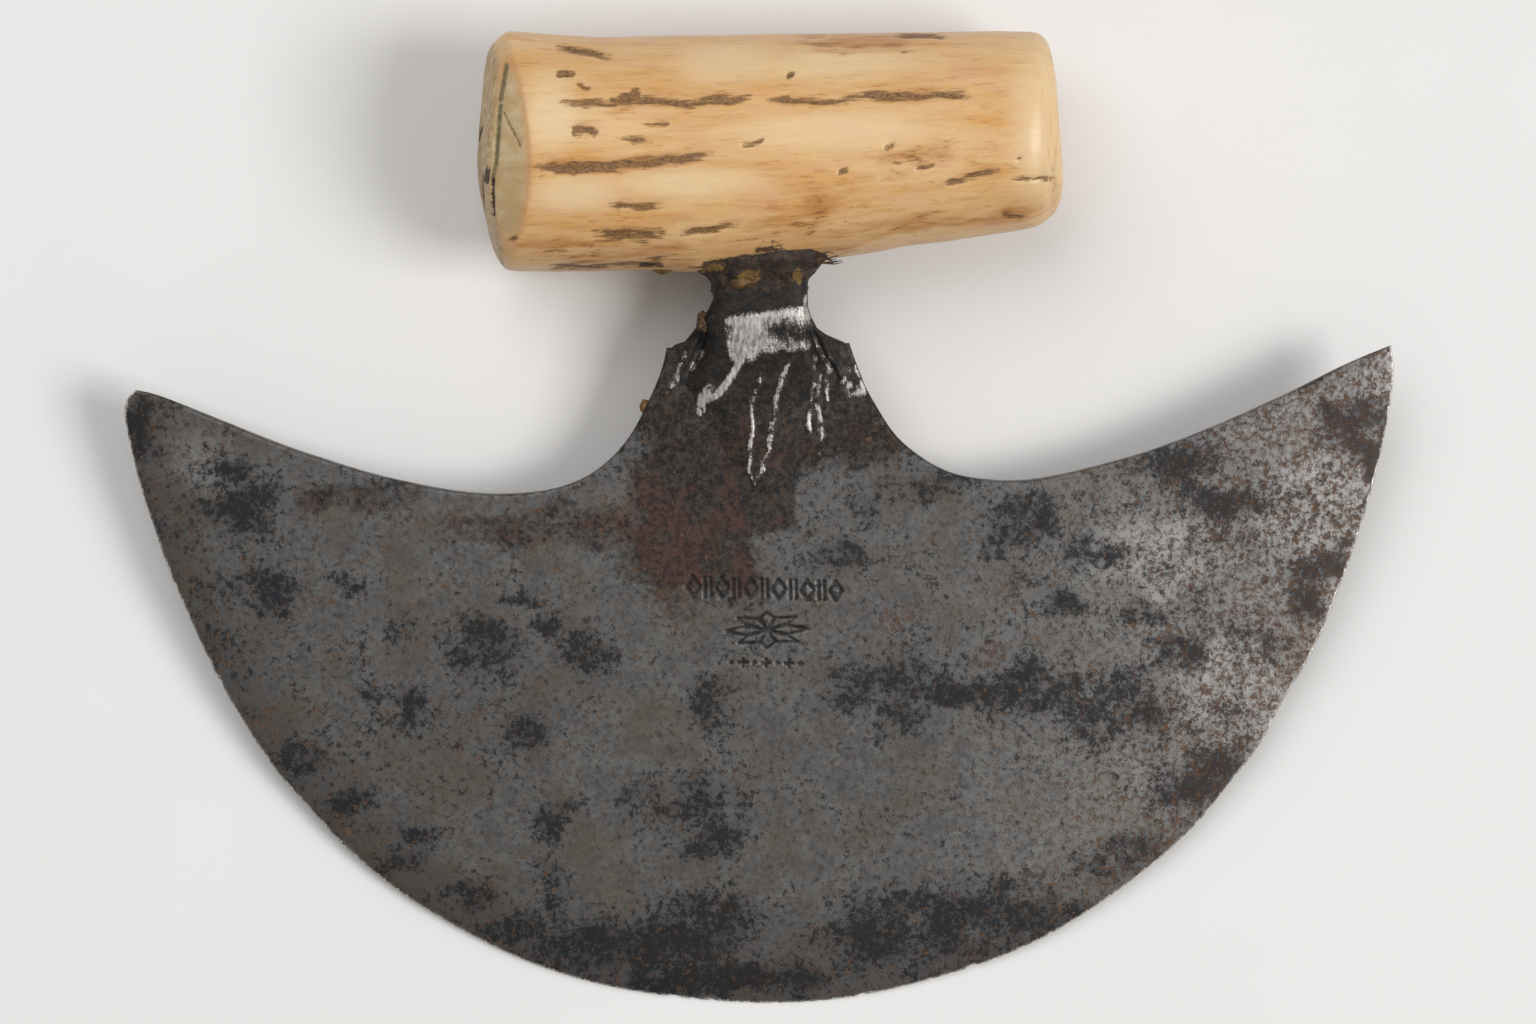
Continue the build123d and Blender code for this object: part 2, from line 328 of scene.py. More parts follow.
def bone():
    """Polished, honey-stained bone. Masks: groove, stain, pale, green, dark, end, facet, tip, core."""
    s = Shader("bone_honey")
    groove, stain, pale, green = s.masks("groove stain pale green")
    black, end, facet, tip = s.masks("dark end facet tip")
    broad = s.noise(0.09, 3, 0.55, stretch=(0.4, 1, 1), seed=2)
    band = s.noise(0.32, 4, 0.62, stretch=(0.16, 1, 1), seed=4, warp=0.5)
    fine = s.noise(1.5, 4, 0.65, stretch=(0.09, 1, 1), seed=6)
    fleck = s.noise(0.95, 5, 0.66, stretch=(0.3, 1, 1), seed=8, warp=0.4)
    dust = s.noise(3.2, 3, 0.6, stretch=(0.7, 1, 1), seed=1)
    streak = s.noise(2.2, 3, 0.6, stretch=(0.13, 1, 1), seed=3)
    blush = s.noise(0.22, 4, 0.6, stretch=(0.5, 1, 1), seed=5, warp=0.3)
    s.colour = s.mix(s.step(broad, 0.36, 0.62), (218, 181, 128), (212, 168, 108))
    s.coat(s.step(band, 0.44, 0.74, 0.8), (204, 146, 74))
    s.coat(s.step(band, 0.46, 0.25, 0.5), (226, 196, 148))
    s.coat(s.step(fine, 0.48, 0.74, 0.6), (180, 126, 66))
    s.coat(s.step(fleck, 0.6, 0.36, 0.3), (204, 158, 120))
    s.coat(s.step(fleck, 0.6, 0.68, 0.35), (186, 126, 62))
    s.coat(s.step(blush, 0.5, 0.68, 0.45), (214, 164, 128))
    s.coat(s.step(s.add((streak, 0.7), (band, 0.3)), 0.55, 0.67, 0.55), (168, 112, 56))
    s.coat(s.times(pale, 0.6), (228, 202, 160))
    tint = s.step(s.add((stain, 0.7), (band, 2.2), (fleck, 1.2), (1.0, -1.7)), 0.3, 1.1, 0.8)
    s.coat(s.times(tint, s.step(stain, 0.0, 0.4)), (176, 118, 56))
    spots = s.step(s.add((fleck, 1.0), (stain, 0.13), (fine, 0.25)), 0.8, 0.9, 0.75)
    s.coat(spots, (140, 92, 46))
    s.coat(s.step(facet, 0.0, 0.5, 0.6), (204, 156, 108))
    s.coat(s.step(facet, 0.4, 1.0, 0.8), s.mix(s.step(band, 0.35, 0.6), (206, 188, 150), (184, 160, 118)))
    core = s.step(s.add((s.mask("core"), 1.0), (blush, 0.9), (1.0, -0.45)), 0.2, 0.9, 0.5)
    s.coat(s.times(end, 0.85), s.mix(s.step(fleck, 0.35, 0.6), (200, 180, 142), (150, 124, 86)))
    s.coat(s.times(end, core), (146, 112, 70))
    ragged = s.step(s.add((groove, 1.0), (streak, 3.0), (fleck, 1.4), (dust, 0.8), (1.0, -2.6)), 0.1, 0.85)
    ragged = s.times(ragged, s.step(groove, 0.02, 0.2))
    halo = s.step(groove, 0.0, 0.7, 0.4)
    s.coat(halo, (176, 126, 66))
    soil = s.mix(s.step(dust, 0.36, 0.62), (78, 53, 31), (140, 101, 57))
    s.coat(s.times(ragged, 0.92), soil)
    moss = s.step(s.add((green, 1.0), (dust, 1.2), (1.0, -0.7)), 0.2, 0.8, 0.8)
    s.coat(s.times(moss, s.step(green, 0.02, 0.2)),
           s.mix(s.step(fleck, 0.4, 0.6), (116, 110, 56), (66, 56, 34)))
    tar = s.step(s.add((black, 0.85), (dust, 1.4), (fleck, 1.4), (1.0, -1.4)), 0.32, 0.66, 0.92)
    s.coat(s.times(tar, s.step(black, 0.02, 0.2)), (50, 34, 22))
    turned = s.noise(1.3, 3, 0.6, stretch=(1, 0.06, 0.3), seed=7)
    s.coat(s.times(tip, s.step(turned, 0.5, 0.66, 0.5)), (178, 142, 98))
    relief = s.add((fine, 0.5), (band, 0.3), (dust, 0.15), (ragged, -0.45), (tar, -0.2))
    rough = s.add((ragged, 0.25), (tar, 0.25), (fine, 0.14), (end, 0.2), (1.0, 0.3))
    return s.finish(rough, relief, 0.14)


def pitch():
    """Old black-brown cement with yellow crumbs of resin in it. Mask: resin."""
    s = Shader("pitch_crust")
    lumps = s.noise(0.9, 5, 0.65, seed=2)
    crumbs = s.noise(2.2, 4, 0.6, seed=5)
    s.colour = s.mix(s.step(lumps, 0.38, 0.66), (30, 23, 19), (70, 50, 36))
    yellow = s.step(s.add((crumbs, 1.0), (s.mask("resin"), 0.3)), 0.66, 0.78, 0.9)
    s.coat(yellow, (126, 96, 44))
    rough = s.add((lumps, 0.3), (1.0, 0.48))
    return s.finish(rough, s.add((lumps, 0.6), (crumbs, 0.4)), 0.5)


def resin():
    """Amber resin, cloudy and cracked on its skin."""
    s = Shader("resin_amber")
    cloud = s.noise(0.8, 4, 0.6, seed=1)
    crack = s.noise(2.6, 4, 0.65, seed=4, warp=0.8)
    s.colour = s.mix(s.step(cloud, 0.35, 0.65), (72, 52, 27), (116, 86, 42))
    s.coat(s.step(crack, 0.6, 0.74, 0.7), (70, 46, 24))
    return s.finish(s.add((crack, 0.4), (1.0, 0.28)), s.add((cloud, 0.5), (crack, 0.5)), 0.2)


def tow():
    """Dry, tarred plant fibre."""
    s = Shader("tow_fibre")
    strand = s.noise(2.0, 4, 0.6, seed=3)
    s.colour = s.mix(s.step(strand, 0.38, 0.64), (38, 27, 20), (96, 70, 44))
    return s.finish(s.add((strand, 0.2), (1.0, 0.72)), strand, 0.08)


# ---- blade

EDGE = [
    (-93.9, -4.3), (-95.2, -5.8), (-95.5, -9.6), (-94.9, -13.1), (-94, -17.9), (-91.9, -25.6),
    (-89.8, -32.5), (-87.2, -39.2), (-84.6, -45.7), (-81.7, -51.8), (-78.6, -57.4), (-75.2, -62.9),
    (-71, -68.2), (-66.8, -73.2), (-62.2, -77.9), (-57.3, -82.1), (-49.6, -87.4), (-40.5, -92.5),
    (-31.5, -96.2), (-22.3, -98.7), (-13.1, -100.2), (-3.9, -101.1), (5.3, -101.2), (14.5, -100.2),
    (23.8, -98.2), (33.1, -95.5), (42.3, -91.6), (51.6, -85.9), (57, -82), (61.7, -78.1), (66.3, -73.5),
    (70.4, -68.4), (74.7, -63), (77.9, -57.1), (81.3, -51.6), (84.1, -46.3), (86.6, -40.2), (89.2, -33.4),
    (91.8, -25.1), (93.7, -17.6), (95, -10.8), (95.4, -4.7), (95.1, -2.5),
]
BACK_RIGHT = [
    (95.1, -2.5), (87.4, -5.6), (81.4, -8.5), (75.3, -11.2), (69.3, -13.7), (63.2, -16), (57.1, -18),
    (51.1, -19.5), (45, -20.8), (39, -21.5), (32.9, -21.1), (29.9, -20.5), (26.9, -19.3), (23.5, -17.1),
    (21, -14.9), (19.1, -12.4), (17.5, -9.6), (16.2, -7.2), (15.2, -4.6), (14.1, -1.4), (13.7, -0.1),
]
BACK_LEFT = [
    (-13.8, -0.1), (-14.3, -2.2), (-15.4, -5.2), (-16.8, -8.1), (-18.5, -11.3), (-20.4, -14.1),
    (-23, -16.8), (-25.9, -18.9), (-29.7, -20.5), (-35.1, -21.4), (-39.6, -21.5), (-47.1, -20.7),
    (-53.1, -19.4), (-59.1, -17.8), (-65, -15.8), (-71, -13.6), (-76.9, -11.1), (-82.8, -8.5),
    (-88.7, -5.9), (-91.7, -4.8), (-93.9, -4.3),
]
TONGUE = [(13.7, -0.1), (4.6, 0), (4.6, 6.5), (-4.6, 6.5), (-4.6, 0), (-13.8, -0.1)]
# (x, half width, depth)
NICKS = [(-15.6, 1.2, 0.3), (-9.8, 0.8, 0.25), (13.2, 1.1, 0.3), (30.2, 1.4, 0.35)]
SMALL_NICKS = 46
OUTLINE_STEP = 0.6  # distance between points along the back; the cutting edge has them closer
EDGE_STEP = 0.42
LIP = [(0, 0.1), (0.9, 0.3)]  # (distance from the cutting edge, half thickness) of the thin lip
BEVEL_RISE, BEVEL_LENGTH = 0.8, 8  # what the bevel adds to the half thickness, and how slowly it does
BACK_CORNER = 0.35  # radius of the rounded corner along the back
# (distance inside the outline, every so many points)
EDGE_ROWS = ((0.14, 1), (0.36, 1), (0.8, 2), (1.35, 2))
UNDERSIDE_STEP = 1.6  # mesh width on the face that is turned down
BLADE_BOX = (-96, -102), (96, 7)
ROSETTE = (0.2, -43.2)  # its middle
STRUCK_SOFT = 0.22  # softness of the sides of a struck stroke
MARKS_BOX = (-12.6, -50.6), (12.8, -33.6)  # the struck marks lie in here, on a finer mesh

# Blue-black blotches and rusty places on the upper face: (x, y, half width, half height)
BLOTS = [
    (53.5, -56.1, 7.9, 5.4), (41.4, -53.2, 7.5, 3.3), (29.5, -53.2, 6.8, 2.3), (17.1, -50.5, 6, 2.6),
    (16.3, -90, 9.4, 5.4), (27, -86.4, 9.1, 3.3), (36.3, -83.5, 6, 2.1), (-33.1, -83.1, 3.3, 3.6),
    (-46.2, -82.7, 3.9, 2.1), (-41.1, -88.5, 4.5, 2.1), (-32.1, -72.5, 3.3, 3.9), (-37.5, -58.5, 3.6, 2.4),
    (-12.3, -70.6, 7.2, 5.7), (-19.1, -68.1, 3, 2.1), (-7.1, -75.4, 3.3, 2.7), (-79.4, -22.4, 5.1, 3),
    (-75.1, -35, 4.2, 3.3), (-91.8, -10.3, 2.7, 3.6), (-80.7, -15.9, 3, 1.8), (-56.3, -41.7, 2.7, 2.4),
    (-56.4, -53.5, 2.5, 2.5), (-60.2, -51.8, 1.1, 0.9), (-53.1, -75.2, 2.9, 3), (-42.6, -45.1, 4.5, 4.2),
    (-31.9, -41.9, 2.1, 1.8), (-26.4, -46.3, 4.2, 3), (-35.5, -37.6, 3, 1.2), (-7.6, -54.9, 3.3, 3.3),
    (83.7, -36.2, 3.9, 1.8), (63, -18.9, 6.8, 2.7), (49.3, -32.2, 3.9, 2.4), (38, -28.1, 4.5, 3.6),
    (69.8, -25.2, 4.5, 2.7), (44.6, -39.7, 3, 2.4), (58.2, -41.6, 2.7, 2.1), (62.7, -49.4, 3, 2.4),
    (74.8, -48.2, 3.6, 3.9), (81, -40.7, 2.1, 3.3), (-20.5, -90.6, 10.6, 3.6), (-11.2, -87, 7.5, 3),
    (-64, -67.7, 3.6, 2.1), (-71.3, -61.3, 2.7, 1.5), (-56.7, -77.2, 3.9, 1.8), (11, -54.2, 4.5, 2.4),
    (20.8, -57.5, 4.5, 2.7), (51, -15.6, 6, 1.8), (88.7, -13.5, 4.5, 3.9), (93.9, -22.8, 1.8, 6),
    (11.5, -32.8, 3.9, 2.1), (25.3, -21, 6, 3), (16.2, -23.7, 3, 3.6), (65.5, -68, 6, 3.6),
    (53.1, -80.1, 6, 3), (42.3, -89.2, 6, 2.1), (-5.4, -97.3, 13.6, 2.1), (-65.7, -34.5, 2.1, 1.2),
    (-53, -18.9, 2.4, 1.4), (-70.7, -10.9, 2.1, 1.2),
]
RUST = [
    (-77.4, -54.2, 2.4, 2.4), (-90.6, -18.5, 1.8, 0.9), (-44.4, -53.5, 3.3, 1.8), (-14.7, -39.7, 3.3, 3.3),
    (20.4, -40.9, 5.4, 2.7), (61.9, -47.1, 1.5, 1.2), (-68.1, -37.5, 3.3, 1.2), (-10.6, -64.4, 1.5, 1.5),
    (33.1, -47.4, 3.6, 2.1), (54.9, -60.8, 1.5, 1.5), (87, -40.9, 3, 3.6), (88.7, -16.6, 3.6, 6),
    (-51.6, -34.4, 0.9, 0.9), (-10.7, -16.2, 1.5, 1.1), (-15.6, -28.5, 1.5, 0.9), (-16.5, -32, 1.5, 0.9),
    (-3.9, -30.8, 0.9, 1.5), (-18.8, -34.2, 2.4, 1.5), (51.6, -83.2, 2.4, 1.5), (57.7, -78.7, 3, 2.4),
    (85.4, -47, 1.5, 4.5),
]
SCORCH = [(-3, -22, 10.5, 19), (-11.5, -27, 12.5, 15)]
SCORCH_BANDS = [(-33, -26.5, 25, 5), (-60, -22, 16, 4)]
SPECKLED = [
    (58, -32, 40, 20), (-72, -32, 26, 24), (0, -94, 62, 9), (-46, -52, 22, 12), (35, -50, 30, 10),
    (66, -66, 14, 12),
]
# Painted highlights on the upper face: (x, y, half width, half height)
PAINTED_SHINE = [(84, -27, 14, 12), (-84.5, -16, 5.5, 4.5), (72, -56, 12, 15), (60, -33, 14, 8)]


def punch_marks():
    """Plain marks in place of the smith's: strokes of a row of lozenges and bars, a rosette, and dots."""
    strokes = []
    for i in range(11):
        x, y = -10.8 + 2.15 * i, -36.3 - 0.12 * i
        if i % 2 == 0:
            loop = [(x - 0.95, y), (x, y + 1.5), (x + 0.95, y), (x, y - 1.5), (x - 0.95, y)]
            strokes.append((0.2, STRUCK_SOFT, loop))
        else:
            for side in (-0.42, 0.42):
                strokes.append((0.2, STRUCK_SOFT, [(x + side, y + 1.4), (x + side, y - 1.4)]))

    def petal_point(wide, high, turn):
        return ROSETTE[0] + wide * math.cos(turn), ROSETTE[1] + high * math.sin(turn)

    for i in range(8):
        turn = math.pi * i / 4
        sides = [petal_point(3.0, 1.9, turn + 0.45), petal_point(6.2, 2.7, turn),
                 petal_point(3.0, 1.9, turn - 0.45)]
        strokes.append((0.12, STRUCK_SOFT, [ROSETTE, *sides, ROSETTE]))
    for i in range(7):
        x, y = -5.4 + 1.75 * i, -48.0 - 0.08 * i
        reach = 0.55 if i % 2 else 0.12
        strokes.append((0.16, STRUCK_SOFT, [(x - reach, y), (x + reach, y)]))
        strokes.append((0.16, STRUCK_SOFT, [(x, y - reach), (x, y + reach)]))
    return strokes


def inside(x, y, loop):
    """True for points inside a closed outline."""
    found = np.zeros(len(x), bool)
    for (ax, ay), (bx, by) in zip(loop, np.roll(loop, -1, axis=0)):
        if ay != by:
            crossing = (ay > y) != (by > y)
            found ^= crossing & (x < (bx - ax) * (y - ay) / (by - ay) + ax)
    return found


def hex_grid(low, high, step):
    """Points of an even triangular grid over a rectangle."""
    rows = np.arange(low[1], high[1], step * math.sqrt(0.75))
    return np.array([
        (x + (step / 2 if i % 2 else 0), y) for i,
        y in enumerate(rows) for x in np.arange(low[0], high[0], step)
    ])


def plate_outline():
    """(cutting edge with its nicks, the rest of the outline) as runs of points, tip to tip and back."""
    edge = spline(EDGE, EDGE_STEP)
    run = np.gradient(edge, axis=0)
    inward = np.stack([-run[:, 1], run[:, 0]], 1) / np.hypot(*run.T)[:, None]
    depth = 0.035 * fractal([(x, y, 0) for x, y in edge], 1.3, 2)
    nicks = NICKS + [(rng.uniform(-92, 92), rng.uniform(0.2, 0.6),
                      rng.uniform(0.05, 0.22)) for _ in range(SMALL_NICKS)]
    for x, half, deep in nicks:
        depth += deep * smooth(np.abs(edge[:, 0] - x), half, 0)
    ends = smooth(np.arange(len(edge)), 3, 12) * smooth(np.arange(len(edge))[::-1], 0, 6)
    edge += inward * (depth * ends)[:, None]
    rest = [spline(BACK_RIGHT, OUTLINE_STEP)[1:]]
    for a, b in zip(TONGUE[:-1], TONGUE[1:]):
        count = max(2, int(math.dist(a, b) / OUTLINE_STEP))
        rest.append(np.linspace(a, b, count + 1)[1:])
    rest.append(spline(BACK_LEFT, OUTLINE_STEP)[1:-1])
    return edge, np.concatenate(rest)


def plate_half(x, y, edge, rest):
    """Half the plate's thickness: a thin lip, a long shallow bevel, and a rounded corner at the back."""
    from_edge = line_distance(x, y, edge[::4].tolist() + [edge[-1].tolist()])
    from_back = line_distance(x, y, [edge[-1].tolist()] + rest[::3].tolist() + [edge[0].tolist()])
    behind_lip = np.clip(from_edge - LIP[-1][0], 0, None)
    half = along(from_edge, LIP) + BEVEL_RISE * (1 - np.exp(-behind_lip / BEVEL_LENGTH))
    corner = np.clip(1 - from_back / BACK_CORNER, 0, 1)
    return half - np.minimum(BACK_CORNER, half * 0.6) * (1 - np.sqrt(1 - corner**2)), from_edge, from_back


def plate_face(edge, rest, step, dense):
    """(points, triangles, how many points the outline has) of one face. The outline's points come first."""
    outline = np.concatenate([edge, rest])
    run = np.roll(outline, -1, axis=0) - np.roll(outline, 1, axis=0)
    inward = np.stack([-run[:, 1], run[:, 0]], 1) / np.hypot(*run.T)[:, None]
    coarse = outline[::3]
    filler = []
    for inset, every in EDGE_ROWS:
        row = outline[::every] + inward[::every] * inset
        clear = line_distance(row[:, 0], row[:, 1], np.concatenate([outline[::2], outline[:1]]).tolist())
        filler.append(row[(clear > inset * 0.75) & inside(row[:, 0], row[:, 1], outline)])
    grid = hex_grid(*BLADE_BOX, step)
    clear = line_distance(grid[:, 0], grid[:, 1], np.concatenate([coarse, coarse[:1]]).tolist())
    keep = (clear > EDGE_ROWS[-1][0] + step * 0.55) & inside(grid[:, 0], grid[:, 1], outline)
    if dense:
        (x0, y0), (x1, y1), close = dense
        keep &= ~((grid[:, 0] > x0) & (grid[:, 0] < x1) & (grid[:, 1] > y0) & (grid[:, 1] < y1))
        filler.append(hex_grid((x0 + step / 2, y0 + step / 2), (x1 - step / 2, y1 - step / 2), close))
    filler.append(grid[keep])
    points = np.concatenate([outline] + filler)
    loop = list(range(len(outline)))
    made = geometry.delaunay_2d_cdt([Vector(p) for p in points], [], [loop], 1, 1e-5)
    return np.array([tuple(v) for v in made[0]]), [tuple(f) for f in made[2]], len(outline)


def steel_masks(points, from_edge, from_back):
    """Where the steel is stained, rusty, scorched by the forge weld, darker along the cutting edge or worn,
    and where highlights are painted on it: towards the right wing, in a few spots, along the cutting edge
    and along edges of the stem. The far face is mirrored.
    """
    x, y, z = points.T
    x = np.where(z < 0, -x, x)
    here = np.stack([x, y, np.zeros(len(x))], 1)
    bx, by = x + 3.4 * fractal(here, 8, 12), y + 2.4 * fractal(here, 7, 13)
    patchy = 1.1 + 0.4 * fractal(here, 9, 14)
    ragged = [(cx, cy, 1.35 * rx, 1.35 * ry) for cx, cy, rx, ry in BLOTS]
    blot = 0.95 * near_spots(bx, by,
                             ragged) * (patchy + 0.45 * fractal(here, 2.4,
                                                                15)) + 0.32 * near_spots(bx, by, SPECKLED)
    blot = np.maximum(blot, 0.5 * smooth(from_back, 3.0, 0.2) * np.clip(patchy - 0.3, 0, 1))
    soot = smooth(np.hypot((bx - 1) / 31, (by + 2) / 23), 1.2,
                  0.75) * (1 - 0.8 * near_spots(bx, by, [(10, -25, 7, 7)]))
    strength = along(x, [(-95, 0.8), (-40, 0.9), (0, 0.7), (40, 0.8), (70, 0.4), (95, 0.3)])
    edge = smooth(from_edge * (1 + 0.3 * (patchy - 1)), 17.0 - 8.0 * np.abs(x) / 95, 0.5) * strength
    # painted highlight: lighter towards the right wing, in the shine spots and along the cutting edge; the
    # right wing also gets more rust
    right = smooth(x - 0.15 * y, 25, 85)
    bright = np.maximum(near_spots(bx, by, PAINTED_SHINE) * along(x, [(-90, 0.35), (50, 0.9)]), 0.45 * right)
    bright = np.maximum(bright * (1 - 0.6 * edge), 0.5 * smooth(from_edge, 0.5, 0.0))
    straight = smooth(x, 6.4, 4.4) * smooth(y, -30, -27) + smooth(bx, 3.5, -2.0) * smooth(y, -27, -30)
    scorch = np.clip(near_spots(bx, by, SCORCH) * 1.3, 0, 1) * straight
    scorch = np.maximum(scorch, 0.6 * near_spots(bx, by, SCORCH_BANDS) * patchy)
    scorch = np.maximum(scorch, 0.85 * soot)
    rust = np.maximum(near_spots(bx, by, RUST), 0.75 * right + 0.2 * smooth(x, 0, -60) + 0.1)
    wear = fractal(here, 1.3, 16)
    shift = x + 0.25 * fractal(here, 2.0, 17)
    # the fine lines are worn ridges and file strokes, partly painted highlights along edges of the rib and
    # the ears
    strokes = near_lines(shift, y, [(0.04, 0.55, line) for line in FINE_LINES],
                         1.5) * np.clip(0.62 + 0.9 * wear, 0, 1)
    low, high = -0.5 - 1.9 * smooth(x, 1.5, -2.5) + 1.0 * wear, 5.0 + 0.11 * x
    wide = smooth(x + 0.7 * wear, -5.5, -3.6) * smooth(x, 8.8, 7.2)
    patch = wide * smooth(y - 0.5 * np.clip(-3 - x, 0, 2) ** 2, low - 1.2,
                          low + 0.7) * smooth(y + 0.25 * wear, high + 0.8, high - 0.4)
    patch = np.maximum(patch * np.clip(0.95 + 0.3 * wear, 0, 1), near_lines(x, y, BARE_AND_HIGHLIGHT_LINES, 0.8))
    bare = np.maximum(patch, strokes) * (z > 0)
    return {
        "blot": np.maximum(blot, 0.9 * soot), "rust": rust, "scorch": scorch, "edge": edge,
        "bright": bright * (1 - soot),
        "bare": np.maximum(bare, 0.8 * smooth(from_edge, 0.45, 0)),
    }


def make_blade(material):
    edge, rest = plate_outline()
    step, close = ((0.85, 0.17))
    strokes = punch_marks()
    points, faces, masks, loops = [], [], [], []
    start = 0
    for side, spacing, dense in ((1, step, (*MARKS_BOX, close)), (-1, UNDERSIDE_STEP, None)):
        flat, triangles, count = plate_face(edge, rest, spacing, dense)
        x, y = flat.T
        half, from_edge, from_back = plate_half(x, y, edge, rest)
        uneven = fractal(np.stack([x, y, np.full(len(x), side * 40.0)], 1), 14, 3, 3)
        fade = smooth(from_edge, 0.5, 6) * smooth(from_back, 0.3, 3)
        struck = near_lines(x, y, strokes) if side > 0 else np.zeros(len(x))
        half = half + 0.05 * uneven * fade - 0.2 * struck
        placed = np.stack([x, y, side * half], 1)
        worn = np.clip(0.85 + 0.35 * fractal(placed, 0.9, 15), 0, 1)
        points.append(placed)
        masks.append(steel_masks(placed, from_edge, from_back) | {"mark": struck * worn})
        faces += [tuple(i + start for i in (f if side > 0 else f[::-1])) for f in triangles]
        loops.append(np.arange(count) + start)
        start += len(flat)
    top, bottom = loops
    for i in range(len(top)):
        j = (i + 1) % len(top)
        faces.append((int(top[j]), int(top[i]), int(bottom[i]), int(bottom[j])))
    joined = {key: np.concatenate([m[key] for m in masks]) for key in masks[0]}
    return make_object("crescent_blade", np.concatenate(points), faces, "blade", material,
                       joined)


# ---- stem

STEM_LEFT = [
    (16, 6.8), (10, 6.7), (9.1, 6.6), (7, 6.6), (5.5, 7.4), (3.7, 8.7), (2.1, 9.9), (0.8, 11), (0.3, 12.6),
    (-0.4, 13.4), (-2.5, 13.6), (-5, 13), (-8, 10.8), (-12, 8.2), (-16, 5.8), (-20, 3.2), (-22.4, 1.3),
    (-23.4, 0.3),
]
STEM_RIGHT = [
    (16, 7.6), (8.7, 7.6), (6, 7.6), (4.2, 8), (2.3, 8.9), (1.3, 10.2), (0.6, 11.7), (0, 13), (-0.6, 13.5),
    (-3, 13.8), (-6, 13.6), (-9, 11.4), (-13, 8.6), (-17, 5.4), (-20, 3), (-22.4, 1.2), (-23.4, 0.3),
]
CROWN = [
    (16, 4.5), (4.5, 4.5), (2, 4), (0, 3.35), (-4, 2.55), (-9, 1.9), (-15, 1.5), (-21, 1.28), (-23.4, 1),
]
RIB = [
    (16, 7.2), (5.3, 7.3), (1, 7.8), (-1.7, 9), (-3.3, 10), (-5.5, 11), (-8, 9.8), (-12, 7.2), (-23.4, 0.2),
]
SLOPE = [(4, 1.6), (0, 2.2), (-5, 3.2), (-10, 5), (-16, 4), (-23.4, 1)]
FAR_FROM_EDGE = 60.0  # stands for the distance to the blade's edges, which no stain on the stem depends on
BARE_AND_HIGHLIGHT_LINES = [  # worn metal on the stem, partly painted highlights along its edges: (half width, softness, points)
    (0.1, 0.3, [(7.2, 7.8), (7.1, 6), (7.5, 4.4), (8.1, 2.1), (9, -0.2), (9.7, -2.3)]),
    (0.25, 0.6, [(-2.5, -1.6), (-3.9, -4.1), (-5.2, -5.9), (-6.5, -7.3), (-8.6, -8.2)]),
    (0.4, 0.6, [(-7.5, -6.1), (-8.6, -7.6), (-8.9, -9.4)]),
]
FINE_LINES = [  # file strokes and worn ridges on the fan, partly painted highlights along the edges of the rib and the ears
    [(0.5, -3.2), (-0.3, -6.1), (-1.3, -8.6), (-1.2, -11.8), (-1.6, -15.1), (-1.9, -19), (-1.2, -20.9)],
    [(5.1, -1.7), (4, -3.3), (3.3, -5.4), (2.6, -7.4), (2.2, -10.3), (1.6, -13.1), (1.1, -15.7),
     (0, -18.8), (-1.1, -20.3)],
    [(8.3, -1.2), (8.5, -3.7), (8, -6.8), (7.5, -9.4), (7.1, -11.9), (7.7, -13.8)],
    [(9.2, -3.2), (8.9, -6), (8.7, -8.4), (9, -11.5), (9.2, -14.4), (8.7, -17.7)],
    [(10.8, -1.4), (10.5, -3.5), (10.3, -5.8), (10, -8.4), (9.8, -11)],
    [(14.3, -3), (12.9, -5.2), (11.6, -7.2)], [(14.9, -4.6), (13.6, -6.4), (12.6, -7.6)],
    [(13.4, -8.2), (15, -7.4), (16, -7.6)], [(14, -1.9), (15.2, -5.8), (16.4, -8.2)],
    [(-10.3, 0.2), (-11.5, -1.7), (-12.2, -3.7), (-12.6, -5.8)],
    [(-13.8, -5.3), (-12.7, -5.9), (-12.2, -6.9)], [(-7.5, 0.9), (-8.7, -1.2), (-10, -3.2), (-11.6, -4.5)],
]


def stem_height(x, y, left, right):
    """Height of the stem's upper face over the blade's middle plane."""
    wide = np.where(x < 0, left, right)
    share = np.clip(np.abs(x) / wide, 0, 1)
    crown = along(y, CROWN)
    neck = crown * (0.16 + 0.84 * (1 - share**4.5) ** (1 / 4.5))
    rib = along(y, RIB)
    foot = 1.14  # just over the plate's half thickness
    fan = foot + (crown - foot) * smooth(rib + 0.5 - np.abs(x), 0, along(y, SLOPE))
    lip = 0.38 * np.exp(-(((np.abs(x) - rib - 1.7) / 0.5) ** 2)) * smooth(y, -8, -4) * smooth(y, 2, 0.5)
    fan = fan + lip - 0.22 * np.exp(-(((np.abs(x) - rib - 0.6) / 0.4) ** 2)) * smooth(y, -7, -3)
    fan = fan - (fan - 1.0) * smooth(share, 0.86, 1.0)
    blend = smooth(y, 4.6, 0.4)
    return neck * (1 - blend) + fan * blend


